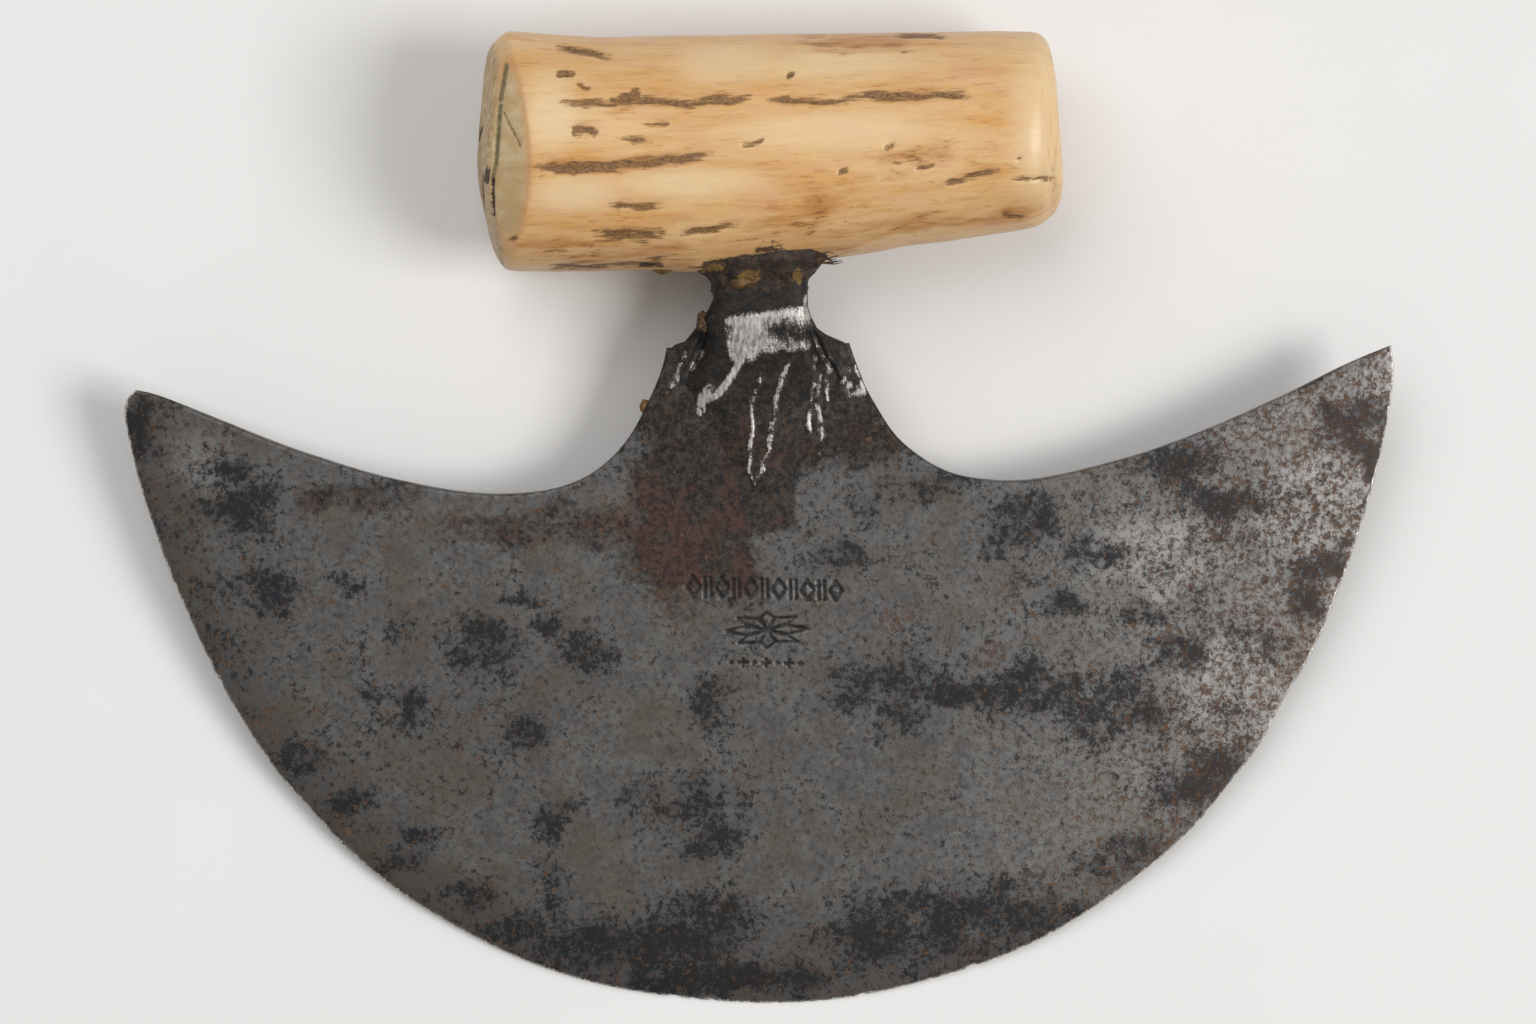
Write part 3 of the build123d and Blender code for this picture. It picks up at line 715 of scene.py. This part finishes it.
def make_stem(material):
    rows = np.concatenate([np.linspace(16, 5, 30), np.linspace(4.8, -4, 60), np.linspace(-4.2, -23.4, 92)])
    across = 118
    turn = np.sin(np.linspace(-math.pi / 2, math.pi / 2, across))
    points = []
    for y in rows:
        left, right = float(along(y, STEM_LEFT)), float(along(y, STEM_RIGHT))
        x = np.where(turn < 0, turn * left, turn * right)
        z = stem_height(x, np.full(len(x), y), left, right)
        upper = np.stack([x, np.full(len(x), y), z], 1)
        lower = upper[::-1] * (1, 1, -1)
        points.append(np.concatenate([upper, lower]))
    count = len(points[0])
    points = np.concatenate(points + [np.array([(0, rows[0] + 0.01, 0), (0, rows[-1] - 0.3, 0)])])
    x, y, z = points.T
    top = z > 0
    dents = fractal(points, 3.2, 5)
    fade = smooth(np.abs(z), 0.9, 1.3)
    ridges = near_lines(x, y, [(0.0, 0.45, line) for line in FINE_LINES]) * top
    hollow = near_spots(x + 0.5 * dents, y, [(4.7, 1.9, 4.3, 2.3)]) * np.clip(0.85 + 0.6 * dents, 0,
                                                                              1) * top
    lift = (0.07 * dents + 0.14 * ridges - 0.22 * hollow) * fade
    points[:, 2] += np.sign(z) * lift
    away = np.full(len(x), FAR_FROM_EDGE)
    beyond = np.abs(x) - along(y, RIB)
    masks = steel_masks(points, away, away)
    masks["bare"] *= 1 - 0.85 * hollow
    masks["blot"] = np.maximum(masks["blot"], 1.5 * smooth(y, -8, 0))
    grimy = (0.62 + 0.25 * dents) * (1 - smooth(masks["bare"], 0.1, 0.5)) * (0.15 + 0.85 * smooth(y, -14,
                                                                                                  -3))
    # painted shade: the creases beside the rib are painted dark
    crease_painted_shade = smooth(beyond, 1.5, 0.7) * smooth(beyond, -0.7, 0.3) * smooth(y, -7, -3) * smooth(y, 5, 2)
    masks["mark"] = grimy + (0.9 - grimy) * crease_painted_shade
    return make_object("forged_stem", points, ring_faces(len(rows), count), "stem", material,
                       masks)


# ---- handle

HANDLE_TOP = [
    (-42.3, 44.9), (-38, 47), (-35.7, 47.7), (-32.7, 47.4), (-22.3, 46.5), (-7.5, 46.4), (7.4, 46.3),
    (22.3, 45.9), (37.2, 45.9), (43.1, 45.6), (46.4, 45),
]
HANDLE_BOTTOM = [
    (-42.3, 12.6), (-38.4, 12.2), (-35.4, 12), (-29.4, 11.8), (-23.4, 11.8), (-17.4, 11.8), (-8.4, 11.3),
    (2, 12), (12.6, 12.8), (18.6, 13.5), (22.4, 14.2), (29.1, 14.8), (42.6, 16.6), (46.4, 17),
]
# half thickness on the stem's line, and the share lost for each millimetre
HALF_THICK, TAPER = 15.9, 0.0021
HALF_WIDE = 17.2
REST, RELIEF = 0.17, 0.25  # where the underside touches, as a share of the length, and its hollow between
HANDLE_LEFT, HANDLE_RIGHT = -42.3, 46.4
AXIS_Y, SKEW = 29.3, math.radians(0.8)
GROOVE_DEPTH, CRACK_DEPTH, GREEN_DEPTH, LUMP_HEIGHT = 0.36, 0.3, 0.16, 0.16
OVAL_POWER = 2.12
CORNER_POWER = 26  # how sharply the end planes meet the body and each other
MIDDLE_LEFT, MIDDLE_RIGHT = -25.0, 29.0  # the rings between these stand square to the axis
UNDERSIDE_GROOVES = 26
# Planes that cut the ends: (side, x on the axis, share of Y, share of Z)
END_PLANES = [
    (-1, -41.6, 0.15, 0.21), (-1, -41.9, -0.21, 0.14), (-1, -41.9, 0.09, -0.12), (1, 46.5, -0.045, -0.1),
    (1, 46, 0.06, 0.1), (1, 46.3, -0.13, 0),
]
GROOVES = [  # long brown grooves in the upper side: (half width, softness, points)
    (0.1, 0.5, [(-27.2, 37.2), (-23.9, 36.9), (-20.5, 36.9), (-15.1, 37.1), (-12.2, 36.8), (-9.3, 36.4),
                (-6.5, 37.1), (-3.6, 36.8), (-0.4, 37.3)]),
    (0.4, 0.6, [(-20, 36.9), (-17.6, 37.5), (-17, 38.3), (-16.4, 37.3), (-13.6, 37)]),
    (0.4, 0.6, [(-11, 36.6), (-9, 36.4), (-6.5, 37.1), (-2.6, 37)]),
    (0.1, 0.5, [(2.6, 36.9), (6.2, 36.6), (8.2, 36.6), (10.2, 36.1), (13.4, 36.5), (16.7, 36.9),
                (20.3, 36.5), (23.7, 36.7), (26.3, 36.9), (31.5, 36.6)]),
    (0.4, 0.6, [(16.2, 36.9), (18, 36.8), (20.3, 36.6), (24, 36.8)]),
    (0.5, 0.6, [(-32, 27.9), (-28.7, 27.8), (-25.3, 27.6), (-21, 27.6), (-17.6, 28), (-13.8, 28.2),
                (-11, 28.6), (-8.4, 29), (-6.2, 29)]),
    (0.6, 0.4, [(-25.6, 33), (-24, 33.1), (-22.8, 32.6)]), (0.15, 0.32, [(-15.4, 33.8), (-12.4, 33.5)]),
    (0.22, 0.5, [(-18.6, 31.5), (-14.9, 31.4)]),
    (0.22, 0.5, [(-27.9, 45.3), (-25, 44.6), (-22.7, 44.1), (-20.9, 43.5)]),
    (0.22, 0.5, [(-20.9, 22.1), (-17.8, 21.7), (-15.5, 21.8), (-13.5, 22)]),
    (0.55, 0.8, [(-22.9, 17.8), (-20, 17.8), (-17.1, 17.6), (-14.2, 17.6)]),
    (0.22, 0.5, [(-10.5, 17.5), (-7, 18), (-2.6, 18.9)]), (0.2, 0.32, [(-1.2, 30.4), (1.4, 30.9)]),
    (0.4, 0.38, [(19.6, 29.2), (20.4, 29.5)]),
    (0.16, 0.5, [(27.5, 23.4), (29.3, 24.2), (32.2, 24.9), (35.6, 25.5)]),
    (0.18, 0.3, [(36.8, 18.9), (39.2, 18.4)]), (0.1, 0.3, [(37.9, 24.3), (44.2, 24.1)]),
    (0.4, 0.35, [(-25, 39.7), (-23.6, 39.2)]), (0.2, 0.32, [(-27.9, 41.2), (-25.9, 41.1)]),
    (0.15, 0.4, [(21.5, 45.6), (25.6, 45.4), (29.1, 45.2)]),
    (0.2, 0.4, [(-16.2, 13.7), (-14.5, 13.8), (-13, 13.9)]),
    (0.05, 0.5, [(-30.5, 12.9), (-26, 12.6), (-20, 12.8), (-15, 12.9)]),
    (0.1, 0.22, [(38.5, 27), (38.9, 27.2)]), (0.1, 0.25, [(12.6, 26), (13.4, 26.1)]),
    (0.1, 0.28, [(5.4, 40.1), (5.9, 40.2)]), (0.1, 0.28, [(24, 26.3), (26, 26.6)]),
    (0.1, 0.28, [(-36, 17.2), (-35.2, 17.4)]),
]
STAINS = [  # (half width, softness, points)
    (0.6, 1.8, [(-31.4, 27.9), (-21, 27.6), (-6.7, 29.2)]), (0.5, 1.4, [(-22, 37), (-1, 37.1)]),
    (0.4, 1.3, [(3.4, 36.7), (30, 36.7)]), (1, 2.4, [(4.8, 44.9), (14.4, 44.7), (25.4, 44.4)]),
    (1.6, 3, [(5, 21.5), (14, 20.5)]), (1.2, 3, [(20, 27), (27, 28)]),
    (1, 3.4, [(-36, 15), (-22, 14.6), (-8, 14.6)]),
    (0.8, 2, [(-4, 17), (4, 18.6), (12, 17), (30, 18.8), (42, 19.6)]),
    (1, 2.2, [(-34, 13.5), (-20, 13.4), (-6, 13)]), (0.8, 1.6, [(-25.5, 33), (-22, 32.8)]),
    (0.6, 1.4, [(8, 13.4), (12.6, 13.6), (17, 14.4)]),
]
PALE = [
    (45.5, 31, 4, 15), (-3, 42, 9, 3.5), (12, 41.5, 14, 2.6), (42.5, 32, 5, 14), (12, 32, 16, 3),
    (-26, 24, 7, 2.8), (-9, 25, 11, 2.4), (-29, 35.5, 4, 6),
]
CRACKS_GREEN = [
    (0.12, 0.6, [(-35.6, 42.8), (-36, 40.5), (-36.5, 37.8)]),
    (0.12, 0.5, [(-36.5, 36.8), (-37, 32.2), (-37.4, 28.7), (-38.1, 26.1)]),
    (0, 0.4, [(-36, 35.9), (-34.7, 33.3), (-33.6, 31)]),
]
CRACKS_BLACK = [
    (0.2, 0.6, [(-38.9, 27.6), (-39.2, 26)]), (0.12, 0.3, [(-39.9, 27), (-40.3, 21.5)]),
    (0.12, 0.3, [(-38.1, 26), (-38.3, 21)]), (0.12, 0.3, [(-40, 33.6), (-41.2, 31.2)]),
    (0.2, 0.3, [(-41.6, 27.2), (-41.7, 25.6)]),
]
JOINT_STAIN = [
    (0.2, 1, [(-7.5, 12.6), (-1, 13.6), (4, 13.8), (9, 13.6)]), (0.3, 1.9, [(0.8, 14.2), (3.2, 14.8)]),
    (0.1, 0.7, [(-17, 12.8), (-14, 12.8)]), (0, 0.6, [(-10, 12.4), (-6, 12.4)]),
]


def handle_axis(x):
    """(y, z) of the handle's middle at x, so that its underside lies level on the surface."""
    y = (along(x, HANDLE_TOP) + along(x, HANDLE_BOTTOM)) / 2
    scale = 1 - TAPER * x
    axis_y = AXIS_Y + math.tan(SKEW) * x
    reach = np.hypot(HALF_WIDE * scale * SIN, HALF_THICK * scale * COS)
    share = (x - HANDLE_LEFT) / (HANDLE_RIGHT - HANDLE_LEFT)
    relief = RELIEF * (np.sin(np.pi * np.clip(share, 0, 1)) / math.sin(math.pi * REST) - 1)
    return y, ((EDGE_LOW_Y - axis_y) * SIN + reach) / COS - EDGE_HALF + np.clip(relief, -0.2, 1)


def handle_cut(x, turn):
    """(where the facets at the left end start, where those at the right end do) in the direction turn."""
    up, front, back = np.clip(np.sin(turn), 0, 1), np.clip(-np.cos(turn), 0, 1), np.clip(np.cos(turn), 0, 1)
    return -36.5 + 4.5 * up**1.6 - 0.9 * front**2 + 0.2 * back**2, 41.5 - 1.5 * up - 0.5 * front


def handle_reach(x, turn):
    """Distance of the body's surface from its axis at x, in the direction turn round the axis."""
    wide = (along(x, HANDLE_TOP) - along(x, HANDLE_BOTTOM)) / 2
    thick = HALF_THICK * (1 - TAPER * x)
    reach = oval_reach(turn, wide, thick, OVAL_POWER)
    up = np.clip(np.sin(turn), 0, 1)
    left, right = handle_cut(x, turn)
    cut = (0.024 + 0.016 * up) * np.clip(left - x, 0, None) + 0.006 * np.clip(x - right, 0, None) ** 2
    return reach * (1 - cut)


def make_handle(material):
    segments, ends, middle = ((264, 88, 150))
    tilt = np.concatenate([np.linspace(math.pi - 0.012, math.pi / 2, ends), np.full(middle, math.pi / 2),
                           np.linspace(math.pi / 2, 0.012, ends)])
    between = np.linspace(MIDDLE_LEFT, MIDDLE_RIGHT, middle + 2)[1:-1]
    start = np.concatenate([np.full(ends, MIDDLE_LEFT), between, np.full(ends, MIDDLE_RIGHT)])
    turn = np.linspace(0, 2 * math.pi, segments, endpoint=False)
    tilt, turn = np.meshgrid(tilt, turn, indexing="ij")
    start = np.repeat(start[:, None], segments, axis=1)
    ahead, aside = np.cos(tilt), np.sin(tilt)
    far = np.full(tilt.shape, 15.0)
    for _ in range(6):  # each round works out how far the surface is at the x that the last one found
        x = start + far * ahead
        total = (handle_reach(x, turn) / aside) ** -CORNER_POWER
        for side, at, by_y, by_z in END_PLANES:
            slope = side * (ahead - by_y * aside * np.cos(turn) - by_z * aside * np.sin(turn))
            room = side * (at - start)
            total += np.where(slope > 1e-6, (room / np.maximum(slope, 1e-6)) ** -CORNER_POWER, 0)
        far = total ** (-1 / CORNER_POWER)
    x = start + far * ahead
    axis_y, axis_z = handle_axis(x)
    y, z = axis_y + far * aside * np.cos(turn), axis_z + far * aside * np.sin(turn)
    grid = np.stack([x, y, z], 2)
    down, across = np.gradient(grid, axis=0), np.roll(grid, -1, axis=1) - np.roll(grid, 1, axis=1)
    normal = np.cross(across, down)
    normal /= np.linalg.norm(normal, axis=2)[:, :, None] + 1e-12
    outward = np.sign(np.mean(normal[len(grid) // 2, :, 1] * np.cos(turn[0])))
    normal *= outward
    flat, n = grid.reshape(-1, 3), normal.reshape(-1, 3)
    px, py, pz = flat.T
    angle, upper = turn.ravel(), n[:, 2] > 0.05
    end = smooth(n[:, 0], -0.62, -0.86)
    rough = fractal(flat * (0.35, 1, 1), 1.3, 6)
    bent = py + 0.22 * fractal(flat * (1, 0.2, 0.2), 2.6, 8)
    carved = [(half * 0.2, soft * 1.5 + 0.2 * half, line) for half, soft, line in GROOVES]
    groove = near_lines(px, bent, carved, 1.6, 0.28 * rough) * upper * (1 - end)
    stain = near_lines(px, py, STAINS, 4.0) * upper
    for _ in range(UNDERSIDE_GROOVES):
        at, around, length = rng.uniform(-34, 34), rng.uniform(math.pi * 1.06,
                                                               math.pi * 1.94), rng.uniform(3, 16)
        wander = rng.uniform(-0.05, 0.05)
        line = [(at - length / 2, 16 * around), (at, 16 * (around + wander)),
                (at + length / 2, 16 * around)]
        width = rng.uniform(0.1, 0.45)
        found = near_lines(px, 16 * angle, [(width, 0.7, line)], 2.2) * (n[:, 2] < 0.05)
        groove = np.maximum(groove, found * rng.uniform(0.6, 1))
        stain = np.maximum(stain, near_lines(px, 16 * angle, [(width, 2.0, line)]) * (n[:, 2] < 0.05) * 0.7)
    facet = smooth(handle_cut(px, angle)[0] - px + 0.4 * rough, -1.0,
                   1.8) * (1 - end) * smooth(np.sin(angle), 0.45, 0.85)
    green = near_lines(px, py, CRACKS_GREEN) * (pz > 0)
    black = near_lines(px, py, CRACKS_BLACK) * (pz > -2)
    joint = near_lines(px, py, JOINT_STAIN) * upper
    lumps = fractal(flat * (0.6, 1, 1), 11, 4, 3)
    below = smooth(n[:, 2], -0.3, -0.8)
    lift = LUMP_HEIGHT * lumps * (1 - below) - GROOVE_DEPTH * groove * (0.9 + 0.7 * rough)
    lift = lift - CRACK_DEPTH * black - GREEN_DEPTH * green
    flat = flat + n * lift[:, None]
    caps = np.array([flat[:segments].mean(0), flat[-segments:].mean(0)])
    points = np.concatenate([flat, caps])
    pale = near_spots(px, py, PALE) * upper * (1 - end)
    masks = {
        "groove": groove, "stain": stain, "pale": pale, "green": green,
        "dark": np.maximum(black, 0.85 * np.clip(joint * (1 + 0.5 * rough), 0, 1)), "end": end,
        "facet": facet,
        "tip": smooth(px, 40.0, 44.5), "core": smooth(np.hypot(py - 29.3, (pz - 1.5) * 1.1), 9.5, 4.0),
    }
    masks = {key: np.concatenate([values, values[[0, -1]]]) for key, values in masks.items()}
    faces = ring_faces(len(grid), segments)
    if outward > 0:
        faces = [f[::-1] for f in faces]
    return make_object("bone_handle", points, faces, "handle", material, masks)


# ---- pitch, resin and tow


COLLAR_WIDE = [(7.4, 6.6), (8.4, 7.2), (10, 7.4), (11.3, 8.6), (13, 10.8), (15, 11), (16.5, 5.4), (36, 5.2)]
COLLAR_THICK = [(7.4, 4.2), (8.4, 4.7), (10, 5.2), (11.3, 6.4), (13, 8), (15, 8.4), (16.5, 5.4), (36, 5.2)]
COLLAR_RESIN = [(-1.2, 10.4, 2.2, 1.6), (-7, 12.2, 3, 1), (6, 10.2, 1.2, 1.6)]


def make_collar(material):
    """The bedding round the tang and the crust that was squeezed out at the joint."""
    rows, count = ((60, 180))
    turn = np.linspace(0, 2 * math.pi, count, endpoint=False)
    points = []
    for y in np.linspace(36.0, 7.4, rows):
        wide, thick = float(along(y, COLLAR_WIDE)), float(along(y, COLLAR_THICK))
        reach = oval_reach(turn, wide, thick, 3.2)
        middle = 0.4 if y < 15 else 0.0
        points.append(np.stack([middle + reach * np.cos(turn), np.full(count, y), reach * np.sin(turn)], 1))
    points = np.concatenate(points)
    x, y, z = points.T
    lumps = fractal(points, 2.4, 7)
    fine = fractal(points, 0.8, 9)
    skin = smooth(y, 15.5, 14.0)
    out = np.stack([x, np.zeros(len(x)), z], 1)
    out /= np.linalg.norm(out, axis=1)[:, None]
    points = points + out * (skin * (0.55 * lumps + 0.22 * fine))[:, None]
    points[:, 1] += skin * (0.7 * fractal(points, 2.0, 11) + 0.15 * fine)
    points[:, 1] = np.maximum(points[:, 1], 6.9)
    caps = np.array([(0, 36.3, 0), (0, 8.0, 0)])
    masks = {"resin": np.concatenate([near_spots(x, y, COLLAR_RESIN) * (z > 0), [0, 0]])}
    points = np.concatenate([points, caps])
    return make_object("pitch_collar", points, ring_faces(rows, count), "pitch_bedding", material,
                       masks)


def make_lump(name, node, material, centre, size, seed, rough=0.22):
    """A dried bead: an uneven, flattened drop with small side lumps."""
    rows, count = 26, 48
    turn = np.linspace(0, 2 * math.pi, count, endpoint=False)
    points = []
    for lift in np.linspace(0.06, math.pi - 0.06, rows):
        ring = [np.sin(lift) * np.cos(turn), np.sin(lift) * np.sin(turn), np.full(count, np.cos(lift))]
        points.append(np.stack(ring, 1))
    points = np.concatenate(points + [np.array([(0, 0, 1.0), (0, 0, -1.0)])])
    swell = 1 + rough * fractal(points, 0.9, seed) + 0.4 * rough * fractal(points, 0.3, seed + 1)
    points = points * swell[:, None] * size + centre
    faces = [f[::-1] for f in ring_faces(rows, count)]
    return make_object(name, points, faces, node, material, {"resin": np.full(len(points), 0.6)})


def make_tow(material):
    """A few stiff, frayed fibres that stick out of the joint."""
    count, points, faces = 8, [], []
    turn = np.linspace(0, 2 * math.pi, count, endpoint=False)
    for strand in range(9):
        spread = rng.normal(0, 1, 3)
        start = np.array([8.1, 12.9, 6.7]) + spread * (0.12, 0.12, 0.12)
        end = np.array([rng.uniform(10.8, 13.1), 13.0 + 0.32 * spread[1], 7.2 + 0.3 * spread[2]])
        bend = np.array([0.0, rng.uniform(-0.35, 0.3), rng.uniform(0.1, 0.5)])
        rows = 14
        t = np.linspace(0, 1, rows)[:, None]
        line = start * (1 - t) + end * t + bend * (4 * t * (1 - t)) + 0.08 * np.sin(t * 9 + strand)
        radius = rng.uniform(0.15, 0.26) * (1 - 0.75 * t[:, 0])
        base = len(points)
        for p, r in zip(line, radius):
            points += [(p[0], p[1] + r * math.cos(a), p[2] + r * math.sin(a)) for a in turn]
        points += [tuple(line[0]), tuple(line[-1] + (0.05, 0, 0))]
        faces += [tuple(i + base for i in f[::-1]) for f in ring_faces(rows, count)]
    return make_object("tow_fibres", np.array(points), faces, "tow_wisp", material)


steel = old_steel()
amber, crust = resin(), pitch()
make_blade(steel)
make_stem(steel)
make_handle(bone())
make_collar(crust)
make_lump("pitch_spot", "pitch_spot_neck", crust, (-8.0, 3.9, 2.0), (1.1, 1.5, 1.1), 21, 0.35)
make_lump("resin_bead_at_joint", "resin_bead_joint", amber, (-2.3, 9.9, 5.4), (1.5, 1.0, 1.0), 24)
make_lump("resin_drip", "resin_drip_handle", amber, (-13.9, 12.0, 2.6), (1.5, 0.8, 1.5), 27)
make_lump("resin_bead_on_shoulder", "resin_bead_shoulder", amber, (-17.3, -8.9, 0.0),
          (0.8, 1.1, 0.8), 31)
make_tow(tow())


# ---- floor, light and camera


def make_floor():
    mesh = bpy.data.meshes.new("floor")
    reach = 1.6
    mesh.from_pydata([(-reach, -reach, 0), (reach, -reach, 0), (reach, reach, 0), (-reach, reach, 0)], [],
                     [(0, 1, 2, 3)])
    s = Shader("pale_board")
    spread = s.noise(0.02, 3, 0.5)
    s.colour = s.mix(spread, (226, 225, 224), (233, 232, 231))
    mesh.materials.append(s.finish(0.85))
    floor = add_object("floor", mesh)


def make_light(name, place, target, size, power, colour):
    data = bpy.data.lights.new(name, "AREA")
    data.shape, data.size, data.size_y = "RECTANGLE", *size
    data.energy, data.color = power, colour
    obj = add_object(name, data)
    obj.location = place
    obj.rotation_euler = (Vector(target) - Vector(place)).to_track_quat("-Z", "Y").to_euler()


make_floor()
make_light("softbox", (1.75, -0.45, 1.95), (0.0, 0.0, 0.0), (1.1, 1.1), 43.5, (1.0, 0.99, 0.98))
make_light("overhead", (-0.45, 0.7, 1.3), (0.0, 0.0, 0.0), (1.2, 1.2), 9.5, (0.98, 0.99, 1.0))
world = bpy.data.worlds.new("studio")
world.use_nodes = True
sky = world.node_tree.nodes["Background"].inputs
sky["Color"].default_value = (1.0, 0.98, 0.955, 1)
sky["Strength"].default_value = 0.34
bpy.context.scene.world = world
bpy.context.scene.view_settings.view_transform = "Standard"

camera = add_object("camera", bpy.data.cameras.new("camera"))
camera.data.lens, camera.data.sensor_width = 85, 36
camera.location = (0.0008, 0.00174, 0.5577)
camera.rotation_euler = (0, 0, math.radians(-1.5))
bpy.context.scene.camera = camera
